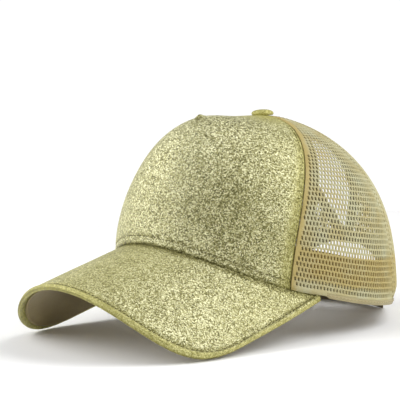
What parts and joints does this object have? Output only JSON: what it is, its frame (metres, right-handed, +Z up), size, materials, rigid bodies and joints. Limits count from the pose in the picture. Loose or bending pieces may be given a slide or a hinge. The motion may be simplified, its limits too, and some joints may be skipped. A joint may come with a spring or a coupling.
{
  "type": "ponytail baseball cap",
  "caption": "Glitter baseball cap with a curved peak, net sides and back, a taped ponytail opening above a taped back arch, and an overlapping adjusting strap.",
  "frame": {"origin": "on the table under the middle of the cap's overall box", "axes": "-Y is the way the wearer faces, +X the wearer's left, +Z up"},
  "size_m": [0.185, 0.246, 0.1385],
  "materials": {
    "glitter_cloth": "glitter cloth",
    "net": "knitted net",
    "seam_tape": "woven tape",
    "hem_tape": "woven tape",
    "sweatband": "cotton twill",
    "lining": "plain backing cloth",
    "peak_lining": "cotton twill",
    "binding": "satin tape",
    "strap": "looped webbing"
  },
  "bodies": {
    "root": {"front_panel": "glitter_cloth", "front_lining": "lining", "peak": "glitter_cloth", "peak_underside": "peak_lining", "side_mesh_left": "net", "side_mesh_right": "net", "back_mesh_left": "net", "back_mesh_right": "net", "front_seam_tape_left": "seam_tape", "front_seam_tape_right": "seam_tape", "hem_tape_left": "hem_tape", "hem_tape_right": "hem_tape", "sweatband": "sweatband", "ponytail_binding": "binding", "arch_binding": "binding", "strap_outer": "strap", "strap_inner": "strap", "button": "glitter_cloth"}
  },
  "joints": []
}
